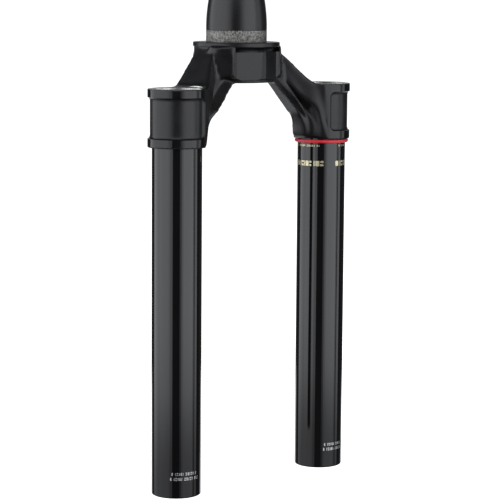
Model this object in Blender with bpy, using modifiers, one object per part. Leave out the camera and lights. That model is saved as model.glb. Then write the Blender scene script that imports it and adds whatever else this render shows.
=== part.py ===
"""Crown, steerer and upper tubes of a bicycle suspension fork, with its sag ring.

Units are metres and +Z is up the steerer. The origin is on the steering axis, at the
crown race seat, where the headset's lower bearing bears on the fork. The fork faces -Y,
and +X is the rider's left, so the air-spring tube is at +X and the damper tube at -X.
"""

import math

import bmesh
import bpy
from mathutils import Matrix, Vector

MM = 0.001

# Fits between pieces that touch on the real fork.
FIT_GAP = 0.3 * MM
OVERCUT = 2.0 * MM          # how far a cutter runs past the face that it opens
ROUND_SIDES = 64            # sides of the large turned pieces

# Overall layout.
LEG_SPACING = 130.0 * MM    # between the two tube axes
CROWN_OFFSET = 15.0 * MM    # the tubes stand this far in front of the steering axis
CROWN_TO_TUBE_END = 288.4 * MM
STEERER_LENGTH = 265.0 * MM  # above the crown race seat, uncut

# Upper tubes.
TUBE_RADIUS = 16.0 * MM
TUBE_WALL = 1.7 * MM
TUBE_TOP_DEPTH = 1.5 * MM   # the tube stops below its socket's rim
TUBE_EDGE = 1.1 * MM        # rolled edge at the lower end
BORE_EDGE = 0.25 * MM       # chamfer inside the lower end
THREAD_LENGTH = 14.0 * MM   # top cap thread, cut inside the top end
THREAD_DEPTH = 0.5 * MM
CIRCLIP_HEIGHT = 6.0 * MM   # circlip groove above the lower end
CIRCLIP_WIDTH = 1.4 * MM
CIRCLIP_DEPTH = 0.6 * MM

# Steerer, tapered from a 1.5 inch base to 1 1/8 inch.
SEAT_RADIUS = 19.9 * MM
SEAT_HEIGHT = 7.6 * MM
STEERER_RADIUS = 14.3 * MM
STEERER_TOP_BORE = 12.1 * MM
STEERER_BASE_WALL = 3.6 * MM
TAPER_START = 9.6 * MM
TAPER_LENGTH = 51.0 * MM
STEERER_RECESS = 0.8 * MM   # the steerer's lower end is this far inside the crown

# Crown hub.
CROWN_HEIGHT = 26.0 * MM    # of the hub, at the steering axis
FLANGE_RADIUS = 28.4 * MM
FLANGE_HEIGHT = 2.9 * MM
HUB_RIM_RADIUS = 25.0 * MM
HUB_RIM_HEIGHT = 2.0 * MM
HUB_CHAMFER = 3.4 * MM
PAD_DISTANCE = 24.6 * MM    # from the steering axis to each flat pad on the nose
PAD_ANGLE = math.radians(23)
PAD_HALF_WIDTH = 17.6 * MM
NOSE_HALF_WIDTH = 2.3 * MM  # of the facet between the two pads
PAD_TOP = 6.2 * MM
COVE_HALF_WIDTH = 19.8 * MM  # of the cove between the flange and the pads
EDGE_BREAK = 0.4 * MM       # chamfer on the hub's rims and bore

# Crown sockets.
SOCKET_WALL = 2.8 * MM
SOCKET_TOP = 27.9 * MM      # depth of the socket's rim below the race seat
SOCKET_HEIGHT = 37.0 * MM
SOCKET_CHAMFER = 0.6 * MM
WAIST_WALL = 1.2 * MM       # wall left behind the turned recess
UPPER_BAND = 5.3 * MM       # socket bands above and below the recess
LOWER_BAND = 5.6 * MM
WAIST_FRONT = math.radians(27.8)  # the recess runs from this far inboard of straight ahead
WAIST_BACK = math.radians(-8)     # to this far inboard of straight back

# Crown arms, seen from the front: a slab that falls from the flange to the socket.
ARM_ROOT = 10.0 * MM        # the arm's pieces start this far from the axis, inside the hub
ARM_SLOPE_START = 2.6 * MM  # the arm's top starts this far inside the flange's edge
ARM_TOP_DROP = 1.1 * MM
ARM_TOP_BLEND = 8.0 * MM
SHOULDER_RUN = 2.3 * MM     # where the top meets the rim, outboard of the socket's inner side
ARMPIT_RUN = 2.2 * MM       # the slab's lower edge, from the hub
ARMPIT_DROP = 17.8 * MM
KNEE_RUN = 0.8 * MM         # past the socket's inner side
KNEE_DROP = 15.1 * MM
KNEE_BLEND = 18.0 * MM
SHIN_RUN = 4.2 * MM
SHIN_RISE = 9.4 * MM
SHIN_BLEND = 12.0 * MM
FOOT_RUN = 7.0 * MM

# Crown arms, seen from above: hollow beside the hub, then swept forward to the socket.
VALLEY_RUN = 3.1 * MM       # past the flange
VALLEY_FRONT = 13.2 * MM    # in front of the steering axis
VALLEY_BLEND = 8.0 * MM
WING_START = WAIST_FRONT + math.radians(1)
WING_LENGTH = 11.1 * MM
WING_BLEND = 14.0 * MM
HEEL_ANGLE = math.radians(5)
HEEL_RISE = 3.1 * MM
ARM_BACK = 14.0 * MM

# Crown arms, lower rib: a web behind a V groove, down to the arch between the legs.
WEB_FRONT = 14.0 * MM       # front and back faces of the web, ahead of the steering axis
WEB_BACK = 9.5 * MM
WEB_TOP = 12.0 * MM
RIB_WIDTH = 6.4 * MM        # how far the rib stands in front of the web
RIB_RISE = 7.4 * MM
GROOVE_START = Vector((20.0, -11.8, -19.4)) * MM
GROOVE_RUN = Vector((0.69, -0.13, -0.71))
ARCH_ROOT = 17.9 * MM       # the arch starts this far from the steering axis
ARCH_ROOT_BLEND = 6.0 * MM
ARCH_SLOPE = 1.056
ARCH_RADIUS = 18.0 * MM
SPINE = 3.8 * MM            # how far the rib stands inboard of the socket
SPINE_FOOT = 3.1 * MM
SPINE_BLEND = 4.0 * MM
RIB_ANCHOR = 6.0 * MM       # how far the web reaches into the socket

# How the crown's pieces overlap before they become one.
CORE_WALL = 0.9 * MM        # the arms stop this far outside the bores
SLAB_INSET = 0.4 * MM       # the arm stops this far inside the socket's rims
WING_STAND = 0.12 * MM      # and stands this far proud of the socket's side

# Sag ring, on the air-spring tube.
RING_THICKNESS = 1.8 * MM
RING_HEIGHT = 2.3 * MM

SOCKET_X = LEG_SPACING / 2
SOCKET_RADIUS = TUBE_RADIUS + SOCKET_WALL
SOCKET_BOTTOM = SOCKET_TOP + SOCKET_HEIGHT
SOCKET_INBOARD = SOCKET_X - SOCKET_RADIUS


def clear_scene():
    for item in list(bpy.data.objects):
        bpy.data.objects.remove(item, do_unlink=True)


def new_collection(name):
    collection = bpy.data.collections.new(name)
    bpy.context.scene.collection.children.link(collection)
    return collection


def new_material(name, colour, roughness, metallic):
    material = bpy.data.materials.new(name)
    material.use_nodes = True
    shader = material.node_tree.nodes["Principled BSDF"]
    shader.inputs["Base Color"].default_value = (*colour, 1)
    shader.inputs["Roughness"].default_value = roughness
    shader.inputs["Metallic"].default_value = metallic
    material.diffuse_color = (*colour, 1)
    return material


def new_object(name, mesh, collection):
    item = bpy.data.objects.new(name, mesh)
    collection.objects.link(item)
    if collection is guides:
        item.hide_render = True
        item.display_type = "WIRE"
    return item


def turned(name, profile, collection, sides=ROUND_SIDES):
    """A closed (radius, z) profile, turned about the object's own Z axis."""
    mesh = bpy.data.meshes.new(name)
    points = [(radius, 0, z) for radius, z in profile]
    edges = [(i, (i + 1) % len(points)) for i in range(len(points))]
    mesh.from_pydata(points, edges, [])
    item = new_object(name, mesh, collection)
    screw = item.modifiers.new("turn", "SCREW")
    screw.steps = screw.render_steps = sides
    screw.use_merge_vertices = True
    screw.merge_threshold = 0.00001
    screw.use_smooth_shade = True
    return item


def rounded(corners, steps=6):
    """The outline through (x, y, radius) corners, with an arc of that radius at each."""
    outline = []
    count = len(corners)
    for i, (x, y, radius) in enumerate(corners):
        here = Vector((x, y))
        if not radius:
            outline.append(here)
            continue
        back = (Vector(corners[i - 1][:2]) - here).normalized()
        ahead = (Vector(corners[(i + 1) % count][:2]) - here).normalized()
        half = back.angle(ahead) / 2
        centre = here + (back + ahead).normalized() * radius / math.sin(half)
        first = here + back * radius / math.tan(half) - centre
        last = here + ahead * radius / math.tan(half) - centre
        for k in range(steps + 1):
            arm = first.lerp(last, k / steps).normalized() * radius
            outline.append(centre + arm)
    return outline


def prism(name, outline, low, high, turn=Matrix()):
    """An outline in the object's XY plane, filled and extruded from low to high."""
    curve = bpy.data.curves.new(name, "CURVE")
    curve.dimensions = "2D"
    curve.fill_mode = "BOTH"
    curve.extrude = (high - low) / 2
    spline = curve.splines.new("POLY")
    spline.points.add(len(outline) - 1)
    for point, (x, y) in zip(spline.points, outline):
        point.co = (x, y, 0, 1)
    spline.use_cyclic_u = True
    source = bpy.data.objects.new(name + "_curve", curve)
    guides.objects.link(source)
    source.matrix_world = turn @ Matrix.Translation((0, 0, (low + high) / 2))
    bpy.context.view_layer.update()
    mesh = bpy.data.meshes.new_from_object(source.evaluated_get(
        bpy.context.evaluated_depsgraph_get()))
    body = bmesh.new()
    body.from_mesh(mesh)
    bmesh.ops.remove_doubles(body, verts=body.verts, dist=0.000001)
    bmesh.ops.recalc_face_normals(body, faces=body.faces)
    body.to_mesh(mesh)
    body.free()
    item = new_object(name, mesh, guides)
    item.matrix_world = source.matrix_world
    bpy.data.objects.remove(source)
    return item


def combine(item, operation, other):
    modifier = item.modifiers.new(other.name, "BOOLEAN")
    modifier.operation = operation
    modifier.solver = "EXACT"
    modifier.object = other


# An outline drawn in X and Z stands up when its own Z is turned to -Y.
UPRIGHT = Matrix.Rotation(math.radians(90), 4, "X")


def arm_front_outline():
    """Front view of the arm's slab, from the hub to the foot of the socket."""
    start = FLANGE_RADIUS - ARM_SLOPE_START
    shoulder = -SOCKET_TOP - SLAB_INSET
    foot = -SOCKET_BOTTOM + SLAB_INSET
    return rounded([
        (ARM_ROOT, -ARM_TOP_DROP, 0),
        (start, -ARM_TOP_DROP, 0),
        (SOCKET_INBOARD + SHOULDER_RUN, shoulder, ARM_TOP_BLEND),
        (SOCKET_X, shoulder, 0),
        (SOCKET_X, foot, 0),
        (SOCKET_INBOARD + FOOT_RUN, foot, 0),
        (SOCKET_INBOARD + SHIN_RUN, -SOCKET_BOTTOM + SHIN_RISE, SHIN_BLEND),
        (SOCKET_INBOARD + KNEE_RUN, -SOCKET_TOP - KNEE_DROP, KNEE_BLEND),
        (start + ARMPIT_RUN, -ARMPIT_DROP, 0),
        (ARM_ROOT, -ARMPIT_DROP, 0),
    ])


def arm_plan_outline():
    """Top view of the arm: concave beside the hub, then swept forward to the socket."""
    centre = Vector((SOCKET_X, -CROWN_OFFSET))
    reach = SOCKET_RADIUS + WING_STAND
    touch = centre + reach * Vector((-math.sin(WING_START), -math.cos(WING_START)))
    wing = touch + WING_LENGTH * Vector((-math.cos(WING_START), math.sin(WING_START)))
    heel = centre + reach * Vector((math.sin(HEEL_ANGLE), math.cos(HEEL_ANGLE)))
    valley = FLANGE_RADIUS + VALLEY_RUN
    return rounded([
        (ARM_ROOT, -VALLEY_FRONT, 0),
        (valley, -VALLEY_FRONT, VALLEY_BLEND),
        (*wing, WING_BLEND),
        (*touch, 0),
        (*centre, 0),
        (*heel, 0),
        (valley, heel.y + HEEL_RISE, VALLEY_BLEND),
        (FLANGE_RADIUS - ARM_SLOPE_START, ARM_BACK, 0),
        (ARM_ROOT, ARM_BACK, 0),
    ])


def arch_outline():
    """Front view of the arm's web and lower rib, down to the arch between the legs."""
    spine = SOCKET_INBOARD - SPINE
    top = -CROWN_HEIGHT + EDGE_BREAK
    fall = (spine - ARCH_ROOT) * ARCH_SLOPE
    foot = -SOCKET_BOTTOM + EDGE_BREAK
    return rounded([
        (ARM_ROOT, -WEB_TOP, 0),
        (ARM_ROOT, top, 0),
        (ARCH_ROOT, top, ARCH_ROOT_BLEND),
        (spine, top - fall, ARCH_RADIUS),
        (spine, foot + SPINE_FOOT, SPINE_BLEND),
        (spine + SPINE_FOOT, foot, 0),
        (SOCKET_INBOARD + RIB_ANCHOR, foot, 0),
        (SOCKET_INBOARD + RIB_ANCHOR, -SOCKET_TOP - WEB_TOP, 0),
        (FLANGE_RADIUS, -WEB_TOP, 0),
    ])


def groove_cutter():
    """The V between the arm's swept upper part and its lower rib, cut along the arm."""
    along = GROOVE_RUN.normalized()
    across = Vector((-along.z, 0, along.x)).normalized()
    across = (across - along * across.dot(along)).normalized()
    outward = along.cross(across)
    slope = RIB_WIDTH / RIB_RISE
    below = CROWN_HEIGHT
    above = SOCKET_HEIGHT
    section = rounded([
        (-below, below * slope, 0),
        (0, 0, EDGE_BREAK * 8),
        (above, 0, 0),
        (above, above, 0),
        (-below, above, 0),
    ], 4)
    turn = Matrix((across, outward, along)).transposed().to_4x4()
    return prism("groove", section, -CROWN_HEIGHT, SOCKET_BOTTOM,
                 Matrix.Translation(GROOVE_START) @ turn)


def arm():
    """The arm's slab and its web, each stopped inside the walls of the hub and socket."""
    slab = prism("arm_slab", arm_front_outline(), -ARM_BACK - OVERCUT,
                 CROWN_OFFSET + SOCKET_RADIUS + OVERCUT, UPRIGHT)
    combine(slab, "INTERSECT", prism("arm_plan", arm_plan_outline(),
                                     -SOCKET_BOTTOM - OVERCUT, OVERCUT))
    web = prism("arm_web", arch_outline(), WEB_BACK, WEB_FRONT + RIB_WIDTH, UPRIGHT)
    combine(web, "DIFFERENCE", groove_cutter())
    cores = [
        core("tube_core", SOCKET_X, -CROWN_OFFSET,
             TUBE_RADIUS + CORE_WALL, -SOCKET_BOTTOM - OVERCUT, OVERCUT),
        core("steerer_core", 0, 0, SEAT_RADIUS + CORE_WALL,
             -CROWN_HEIGHT - OVERCUT, OVERCUT),
    ]
    for piece in (slab, web):
        for cutter in cores:
            combine(piece, "DIFFERENCE", cutter)
    return slab, web


def hub():
    bottom = -CROWN_HEIGHT
    rim = bottom + HUB_RIM_HEIGHT
    bore = SEAT_RADIUS + FIT_GAP
    return turned("crown", [
        (FLANGE_RADIUS - EDGE_BREAK, 0),
        (FLANGE_RADIUS, -EDGE_BREAK),
        (FLANGE_RADIUS, rim + HUB_CHAMFER),
        (HUB_RIM_RADIUS, rim),
        (HUB_RIM_RADIUS, bottom + EDGE_BREAK),
        (HUB_RIM_RADIUS - EDGE_BREAK, bottom),
        (bore + EDGE_BREAK, bottom),
        (bore, bottom + EDGE_BREAK),
        (bore, 0),
    ], parts)


def nose_cutter():
    """Everything in front of the two flat pads that meet at the crown's nose."""
    tip = PAD_DISTANCE / math.cos(PAD_ANGLE)
    nose = tip - NOSE_HALF_WIDTH * math.tan(PAD_ANGLE)
    edge = tip - PAD_HALF_WIDTH * math.tan(PAD_ANGLE)
    side = FLANGE_RADIUS + OVERCUT
    outline = [
        (-side, -edge - EDGE_BREAK),
        (-PAD_HALF_WIDTH, -edge),
        (-NOSE_HALF_WIDTH, -nose),
        (NOSE_HALF_WIDTH, -nose),
        (PAD_HALF_WIDTH, -edge),
        (side, -edge - EDGE_BREAK),
        (side, -side),
        (-side, -side),
    ]
    return prism("nose_cutter", outline, -CROWN_HEIGHT + HUB_RIM_HEIGHT, -PAD_TOP)


def neck_cutter():
    """The cove under the flange, above the pads, kept to the front of the hub."""
    cove = PAD_TOP - FLANGE_HEIGHT
    side = FLANGE_RADIUS + OVERCUT
    profile = [(side, -FLANGE_HEIGHT), (side, -PAD_TOP - EDGE_BREAK / 8)]
    profile += [
        (PAD_DISTANCE + cove * (1 - math.cos(angle)), -PAD_TOP + cove * math.sin(angle))
        for angle in (math.radians(step * 22.5) for step in range(5))
    ]
    ring = turned("neck_cutter", profile, guides)
    back = FLANGE_RADIUS / 2
    window = [
        (-COVE_HALF_WIDTH, -back),
        (COVE_HALF_WIDTH, -back),
        (COVE_HALF_WIDTH, -back - side),
        (-COVE_HALF_WIDTH, -back - side),
    ]
    combine(ring, "INTERSECT", prism("neck_window", window, -2 * PAD_TOP, 0))
    return ring


def socket():
    """The socket that one upper tube is pressed into, with its outer side turned down."""
    bore = TUBE_RADIUS + FIT_GAP
    item = turned("socket", [
        (SOCKET_RADIUS - SOCKET_CHAMFER, -SOCKET_TOP),
        (SOCKET_RADIUS, -SOCKET_TOP - SOCKET_CHAMFER),
        (SOCKET_RADIUS, -SOCKET_BOTTOM + SOCKET_CHAMFER),
        (SOCKET_RADIUS - SOCKET_CHAMFER, -SOCKET_BOTTOM),
        (bore, -SOCKET_BOTTOM),
        (bore, -SOCKET_TOP),
    ], guides)
    item.location = (SOCKET_X, -CROWN_OFFSET, 0)
    combine(item, "DIFFERENCE", waist_cutter())
    return item


def core(label, x, y, radius, low, high):
    body = bmesh.new()
    bmesh.ops.create_cone(body, cap_ends=True, segments=ROUND_SIDES, radius1=radius,
                          radius2=radius, depth=high - low)
    mesh = bpy.data.meshes.new(label)
    body.to_mesh(mesh)
    body.free()
    item = new_object(label, mesh, guides)
    item.location = (x, y, (low + high) / 2)
    return item


def waist_cutter():
    """The recess turned round the outside of a socket, open towards the outboard side."""
    start = -math.pi / 2 - WAIST_FRONT
    end = math.pi / 2 + WAIST_BACK
    steps = 36
    inner = TUBE_RADIUS + WAIST_WALL
    outer = SOCKET_RADIUS + OVERCUT
    angles = [start + (end - start) * k / steps for k in range(steps + 1)]
    outline = [(inner * math.cos(a), inner * math.sin(a)) for a in angles]
    outline += [(outer * math.cos(a), outer * math.sin(a)) for a in reversed(angles)]
    return prism("waist", outline, -SOCKET_BOTTOM + LOWER_BAND, -SOCKET_TOP - UPPER_BAND,
                 Matrix.Translation((SOCKET_X, -CROWN_OFFSET, 0)))


def make_crown(material):
    """Forged and machined crown: hub, two arms and two tube sockets, all one piece."""
    crown = hub()
    combine(crown, "DIFFERENCE", nose_cutter())
    combine(crown, "DIFFERENCE", neck_cutter())
    for piece in (*arm(), socket()):
        combine(crown, "UNION", piece)
    mirror = crown.modifiers.new("other_side", "MIRROR")
    mirror.use_axis = (True, False, False)
    mirror.use_bisect_axis = (True, False, False)
    mirror.merge_threshold = 0.00002
    return finish(crown, material)


def make_steerer(material):
    """Tapered steerer, butted inside, with the crown race seat at its base."""
    base = -CROWN_HEIGHT + STEERER_RECESS
    base_bore = SEAT_RADIUS - STEERER_BASE_WALL
    drop = SEAT_RADIUS - STEERER_RADIUS
    taper = [
        (STEERER_RADIUS + drop * (1 + math.cos(math.pi * k / 12)) / 2,
         TAPER_START + TAPER_LENGTH * k / 12)
        for k in range(12, -1, -1)
    ]
    bore_top = TAPER_START + TAPER_LENGTH + 12 * MM
    return finish(turned("steerer_tube", [
        (STEERER_RADIUS - 0.6 * MM, STEERER_LENGTH),
        (STEERER_RADIUS, STEERER_LENGTH - 0.6 * MM),
        *taper,
        (SEAT_RADIUS, SEAT_HEIGHT),
        (SEAT_RADIUS, base + 0.8 * MM),
        (SEAT_RADIUS - 0.8 * MM, base),
        (base_bore + 0.5 * MM, base),
        (base_bore, base + 0.5 * MM),
        (base_bore, TAPER_START),
        (STEERER_TOP_BORE, bore_top),
        (STEERER_TOP_BORE, STEERER_LENGTH - 0.5 * MM),
        (STEERER_TOP_BORE + 0.5 * MM, STEERER_LENGTH),
    ], parts), material)


def make_upper_tube(name, side, material):
    """Upper tube: plain outside, threaded inside at the top, grooved near the bottom."""
    bore = TUBE_RADIUS - TUBE_WALL
    top = -SOCKET_TOP - TUBE_TOP_DEPTH
    end = -CROWN_TO_TUBE_END
    thread = bore + THREAD_DEPTH
    clip = bore + CIRCLIP_DEPTH
    rolled = [
        (TUBE_RADIUS - TUBE_EDGE * (1 - math.cos(angle)), end + TUBE_EDGE * (1 - math.sin(angle)))
        for angle in (math.radians(step * 22.5) for step in range(4))
    ]
    tube = turned(name, [
        (TUBE_RADIUS - 0.5 * MM, top),
        (TUBE_RADIUS, top - 0.5 * MM),
        *rolled,
        (TUBE_RADIUS - TUBE_EDGE, end),
        (bore + BORE_EDGE, end),
        (bore, end + BORE_EDGE),
        (bore, end + CIRCLIP_HEIGHT),
        (clip, end + CIRCLIP_HEIGHT),
        (clip, end + CIRCLIP_HEIGHT + CIRCLIP_WIDTH),
        (bore, end + CIRCLIP_HEIGHT + CIRCLIP_WIDTH),
        (bore, top - THREAD_LENGTH - THREAD_DEPTH),
        (thread, top - THREAD_LENGTH),
        (thread, top - 0.4 * MM),
        (thread + 0.4 * MM, top),
    ], parts, 56)
    tube.location = (side * SOCKET_X, -CROWN_OFFSET, 0)
    return finish(tube, material)


def make_sag_ring(material):
    """Rubber ring that grips the air-spring tube and is pushed along it."""
    inner = TUBE_RADIUS + FIT_GAP
    centre = inner + RING_THICKNESS / 2
    steps = 10
    profile = [
        (centre + RING_THICKNESS / 2 * math.sin(angle), RING_HEIGHT / 2 * math.cos(angle))
        for angle in (2 * math.pi * k / steps for k in range(steps))
    ]
    ring = turned("sag_ring", profile, parts, 48)
    ring.location = (SOCKET_X, -CROWN_OFFSET, -SOCKET_BOTTOM - FIT_GAP - RING_HEIGHT / 2)
    return finish(ring, material)


def finish(item, material):
    item.data.materials.append(material)
    return item


clear_scene()
parts = new_collection("suspension_fork")
guides = new_collection("cutters_and_guides")
anodised = new_material("black_anodised_tube", (0.012, 0.012, 0.013), 0.12, 0.9)
forged = new_material("black_anodised_crown", (0.018, 0.018, 0.02), 0.38, 0.9)
steerer_black = new_material("black_anodised_steerer", (0.02, 0.02, 0.022), 0.45, 0.9)
rubber = new_material("red_rubber", (0.62, 0.02, 0.035), 0.5, 0.0)
make_crown(forged)
make_steerer(steerer_black)
make_upper_tube("damper_side_upper_tube", -1, anodised)
make_upper_tube("air_side_upper_tube", 1, anodised)
make_sag_ring(rubber)
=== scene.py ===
# %% [markdown]
# # Crown, steerer and upper tubes of a bicycle fork
# The real object is what a mechanic calls a crown-steerer unit: one forged aluminium crown with a
# steerer and two polished tubes pressed into it. The CAD frame holds every size. This lesson
# rebuilds each piece with a finer surface around that frame and gives each its anodised finish.

# %% Load the CAD frame
import math

import bpy
from mathutils import Matrix, Vector


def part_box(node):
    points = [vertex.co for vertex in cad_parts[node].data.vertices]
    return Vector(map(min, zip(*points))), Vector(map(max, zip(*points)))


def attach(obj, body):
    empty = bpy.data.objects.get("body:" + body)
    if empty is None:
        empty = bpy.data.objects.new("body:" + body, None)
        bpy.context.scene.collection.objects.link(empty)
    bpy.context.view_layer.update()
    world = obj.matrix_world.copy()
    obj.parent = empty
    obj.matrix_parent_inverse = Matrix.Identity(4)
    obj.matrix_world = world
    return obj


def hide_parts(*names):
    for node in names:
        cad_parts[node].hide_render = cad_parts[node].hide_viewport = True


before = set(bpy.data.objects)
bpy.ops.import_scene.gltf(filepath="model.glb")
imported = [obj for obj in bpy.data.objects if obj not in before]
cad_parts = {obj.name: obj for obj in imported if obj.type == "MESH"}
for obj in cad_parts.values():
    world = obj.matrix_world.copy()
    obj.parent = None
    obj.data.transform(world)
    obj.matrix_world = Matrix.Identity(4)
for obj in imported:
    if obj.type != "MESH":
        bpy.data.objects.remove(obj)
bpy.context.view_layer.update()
UNIT, RING = "crown_steerer_unit", "ring"
MM = 0.001
print("nodes:", sorted(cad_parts))

# %% [markdown]
# ## Sizes that come from the frame
# A node's box says where its axis is, because every turned piece is centred on its own box. The
# sizes below are read from those boxes, so the new pieces land exactly where the CAD pieces are.

# %% Read the places and radii
tube_low, tube_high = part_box("air_side_upper_tube")
steerer_low, steerer_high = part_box("steerer_tube")
crown_low, crown_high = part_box("crown")
ring_low, ring_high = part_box("sag_ring")
TUBE_R = (tube_high.x - tube_low.x) / 2
TUBE_X = (tube_high.x + tube_low.x) / 2
TUBE_Y = (tube_high.y + tube_low.y) / 2
TUBE_END, TUBE_TOP = tube_low.z, tube_high.z
SEAT_R = steerer_high.y
CROWN_BOTTOM = crown_low.z
SOCKET_R = crown_high.x - TUBE_X
print("tube radius", round(TUBE_R / MM, 2), "socket radius", round(SOCKET_R / MM, 2))

# %% [markdown]
# ## Camera
# The view is from the front and the rider's right, a little above the crown, with a long lens that
# keeps the two tubes nearly parallel. A camera looks along its own -Z, so its three axes are built
# from a heading, a tilt and a small roll.

# %% Place the camera
HEADING, TILT, ROLL = math.radians(43.7), math.radians(7.347), math.radians(0.407)
CAMERA_PLACE = Vector((-0.9545, -1.0131, 0.0423))
SENSOR = 36.0
LENS = 152.71
level = Vector((math.sin(HEADING), math.cos(HEADING), 0))
right = Vector((math.cos(HEADING), -math.sin(HEADING), 0))
ahead = math.cos(TILT) * level - math.sin(TILT) * Vector((0, 0, 1))
above = right.cross(ahead)
side_axis = math.cos(ROLL) * right + math.sin(ROLL) * above
up_axis = -math.sin(ROLL) * right + math.cos(ROLL) * above
bpy.ops.object.camera_add()
camera = bpy.context.object
camera.data.sensor_width = SENSOR
camera.data.lens = LENS
camera.data.clip_start = 0.01
camera.matrix_world = Matrix.Translation(CAMERA_PLACE) @ Matrix(
    (side_axis, up_axis, -ahead)).transposed().to_4x4()
bpy.context.scene.camera = camera
print("camera", round(CAMERA_PLACE.length, 3), "m from the foot of the race seat")

# %% [markdown]
# ## Floor, surroundings and light
# Black gloss shows little but reflections, so the light is drawn as tall soft panels with a dark
# gap between them. The gap is what puts a black stripe down the middle of each tube. The floor is
# pale and lit, but the metal doesn't mirror it, as if the unit stood on a sheet far in front of
# dark curtains.

# %% Make the floor
FLOOR_SIZE, FLOOR_GAP = 60, 0.2 * MM
FLOOR_GLOW = 1.1
bpy.context.scene.view_settings.view_transform = "Standard"
bpy.ops.mesh.primitive_plane_add(size=FLOOR_SIZE, location=(0, 0, TUBE_END - FLOOR_GAP))
floor = bpy.context.object
floor.name = "floor"
floor_paint = bpy.data.materials.new("pale_floor")
floor_paint.use_nodes = True
shader = floor_paint.node_tree.nodes["Principled BSDF"]
shader.inputs["Base Color"].default_value = (0.9, 0.9, 0.9, 1)
shader.inputs["Roughness"].default_value = 0.9
shader.inputs["Emission Color"].default_value = (1, 1, 1, 1)
shader.inputs["Emission Strength"].default_value = FLOOR_GLOW
floor.data.materials.append(floor_paint)
floor.visible_glossy = False
floor.visible_diffuse = False
floor.visible_shadow = False
print("floor laid", round((TUBE_END - FLOOR_GAP) / MM, 1), "mm from the foot of the race seat")

# %% Surround the unit with dim air that looks white to the camera
DIM_AIR = (0.05, 0.05, 0.055, 1)
world = bpy.data.worlds.new("studio")
bpy.context.scene.world = world
world.use_nodes = True
nodes, links = world.node_tree.nodes, world.node_tree.links
seen = nodes.new("ShaderNodeLightPath")
air = nodes.new("ShaderNodeMixShader")
white = nodes.new("ShaderNodeBackground")
dim = nodes["Background"]
white.inputs["Color"].default_value = (1, 1, 1, 1)
dim.inputs["Color"].default_value = DIM_AIR
links.new(seen.outputs["Is Camera Ray"], air.inputs["Fac"])
links.new(dim.outputs["Background"], air.inputs[1])
links.new(white.outputs["Background"], air.inputs[2])
links.new(air.outputs["Shader"], nodes["World Output"].inputs["Surface"])
print("surroundings made")

# %% Hang the soft panels
PANEL_DISTANCE = 1.7
PANEL_WHITE = (0.95, 0.97, 1.0, 1)
# Between these heights the upright panels fade to a share of their glow.
GLOW_FULL, GLOW_LOW, GLOW_LEFT = -0.42, -0.78, 0.36
MIDDLE = Vector((0, TUBE_Y / 2, (TUBE_END + CROWN_BOTTOM) / 2))


def panel(name, turn, span, glow, height=3.0, rise=0.0, distance=PANEL_DISTANCE):
    """A glowing panel at this turn from the camera and this rise, in degrees. An upright one
    dims towards the floor."""
    heading = math.radians(turn) + math.pi + HEADING
    lift = math.radians(rise)
    out = Vector((math.sin(heading) * math.cos(lift), math.cos(heading) * math.cos(lift),
                  math.sin(lift)))
    width = 2 * distance * math.tan(math.radians(span / 2))
    bpy.ops.object.select_all(action="DESELECT")
    bpy.ops.mesh.primitive_plane_add(size=1, location=MIDDLE + out * distance,
                                     rotation=out.to_track_quat("Z", "Y").to_euler())
    sheet = bpy.context.object
    sheet.name = name
    sheet.scale = (width, height, 1)
    bpy.ops.object.transform_apply(location=True, rotation=True, scale=True)
    paint = bpy.data.materials.new(name + "_glow")
    paint.use_nodes = True
    nodes, links = paint.node_tree.nodes, paint.node_tree.links
    place = nodes.new("ShaderNodeTexCoord")
    upright = nodes.new("ShaderNodeSeparateXYZ")
    fade = nodes.new("ShaderNodeMapRange")
    light = nodes.new("ShaderNodeEmission")
    fade.interpolation_type = "SMOOTHSTEP"
    fade.inputs["From Min"].default_value = GLOW_LOW
    fade.inputs["From Max"].default_value = GLOW_FULL
    fade.inputs["To Min"].default_value = glow * (GLOW_LEFT if rise == 0 else 1)
    fade.inputs["To Max"].default_value = glow
    light.inputs["Color"].default_value = PANEL_WHITE
    links.new(place.outputs["Object"], upright.inputs["Vector"])
    links.new(upright.outputs["Z"], fade.inputs["Value"])
    links.new(fade.outputs["Result"], light.inputs["Strength"])
    links.new(light.outputs["Emission"], nodes["Material Output"].inputs["Surface"])
    sheet.data.materials.append(paint)
    sheet.visible_camera = False
    sheet.visible_shadow = False


# name, turn from the camera and span in degrees, glow
PANELS = [
    ("left_inner", 24, 12, 1.5),
    ("left_near", 34, 8, 2.2),
    ("left_middle", 60, 44, 2.45),
    ("left_outer", 101, 38, 2.1),
    ("right_inner", -18, 8, 0.8),
    ("right_near", -26, 8, 1.9),
    ("right_middle", -55, 50, 2.6),
    ("right_end", -83.5, 6, 1.3),
    ("right_outer", -98, 15, 1.5),
    ("back", 180, 40, 0.5),
]
for name, turn, span, glow in PANELS:
    panel(name, turn, span, glow)
panel("under_back", 180, 70, 1.2, height=1.6, rise=-45, distance=1.3)
panel("over_front", 0, 70, 1.6, height=0.9, rise=42)
print(len(PANELS) + 2, "panels")

# %% [markdown]
# ## Tools for modelling by hand
# Every new piece starts as one vertex, extruded from point to point as with the E key. A turned
# piece then has that line spun round an axis, and a flat piece has it filled and extruded.

# %% Define the modelling helpers
SAME_POINT = 0.001 * MM


def select_only(item):
    bpy.ops.object.select_all(action="DESELECT")
    item.select_set(True)
    bpy.context.view_layer.objects.active = item


def edit(item):
    select_only(item)
    bpy.ops.object.mode_set(mode="EDIT")
    bpy.ops.mesh.select_mode(type="VERT")
    bpy.ops.mesh.select_all(action="SELECT")


def done():
    bpy.ops.object.mode_set(mode="OBJECT")


def apply_all(item):
    select_only(item)
    for modifier in list(item.modifiers):
        bpy.ops.object.modifier_apply(modifier=modifier.name)


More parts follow.
